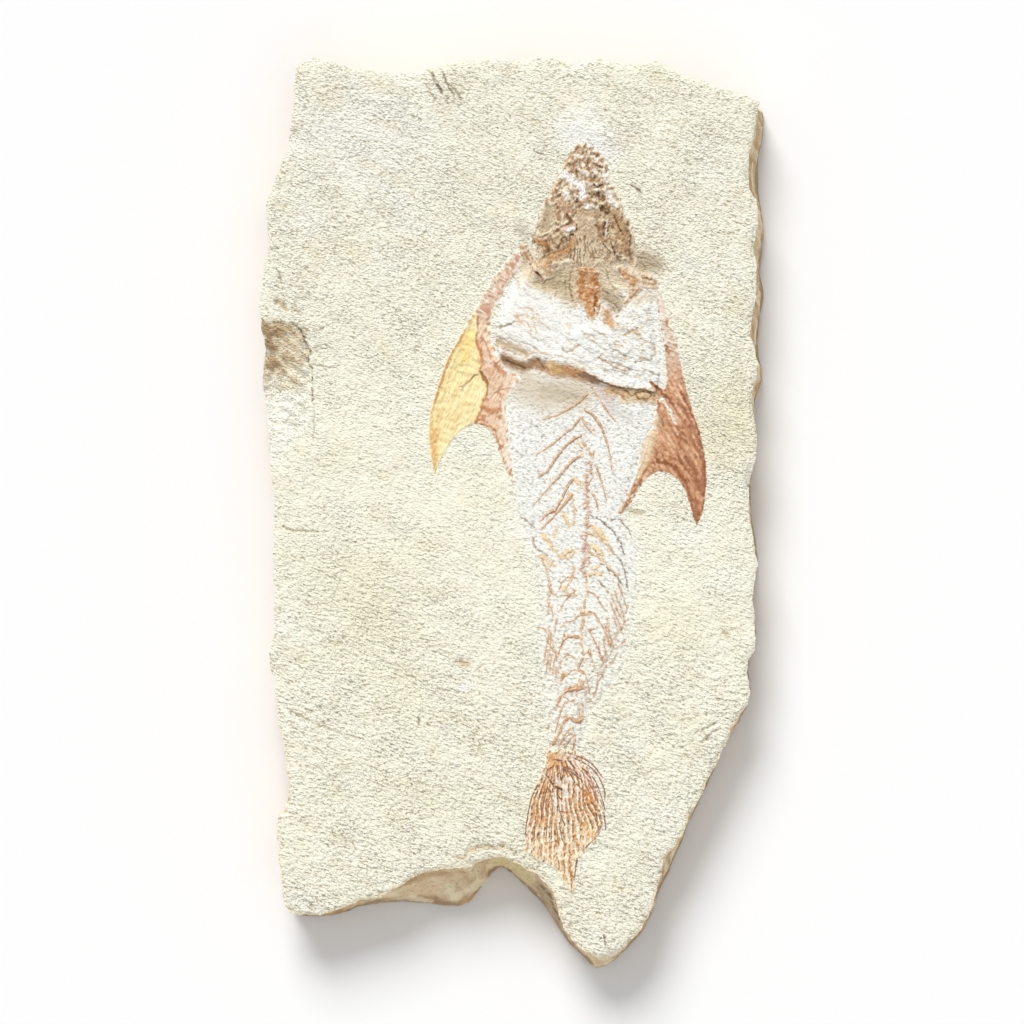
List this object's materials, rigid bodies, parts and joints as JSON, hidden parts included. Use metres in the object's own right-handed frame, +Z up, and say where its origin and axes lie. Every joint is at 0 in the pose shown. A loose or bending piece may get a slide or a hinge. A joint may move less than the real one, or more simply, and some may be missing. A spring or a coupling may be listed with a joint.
{
  "type": "fossil fish slab",
  "caption": "Broken plate of pale limestone with a small flattened fish in low relief on its face: skull, wing-like side fins, ribbed backbone and tail fan.",
  "frame": {"origin": "middle of the plate's box, on its flat underside", "axes": "+Z up, out of the fossil face; +Y from the fish's tail to its snout, along the plate's length; +X to the right as seen from above"},
  "size_m": [0.1016, 0.1828, 0.0147],
  "materials": {
    "limestone": "rough, grainy, cream",
    "skull_bone": "crushed bone, brown with white flecks",
    "rust_bone": "crumbly bone, rust orange",
    "dark_bone": "thin bone, dark brown",
    "orange_bone": "thin bone, orange brown",
    "yellow_vane": "thin fin film, yellow and pinkish",
    "red_vane": "thin fin film, fibrous, red brown",
    "spine_bone": "thin bone, orange brown",
    "fringe_bone": "fine rays, brown",
    "tail_bone": "fine rays, orange brown"
  },
  "bodies": {
    "root": {"limestone_slab": "limestone", "skull": "skull_bone", "throat_bone": "rust_bone", "left_shoulder_bone": "dark_bone", "right_shoulder_bone": "orange_bone", "left_pectoral_fin": "yellow_vane", "right_pectoral_fin": "red_vane", "backbone": "spine_bone", "dorsal_fin": "fringe_bone", "anal_fin": "fringe_bone", "tail_fin": "tail_bone"}
  },
  "joints": []
}
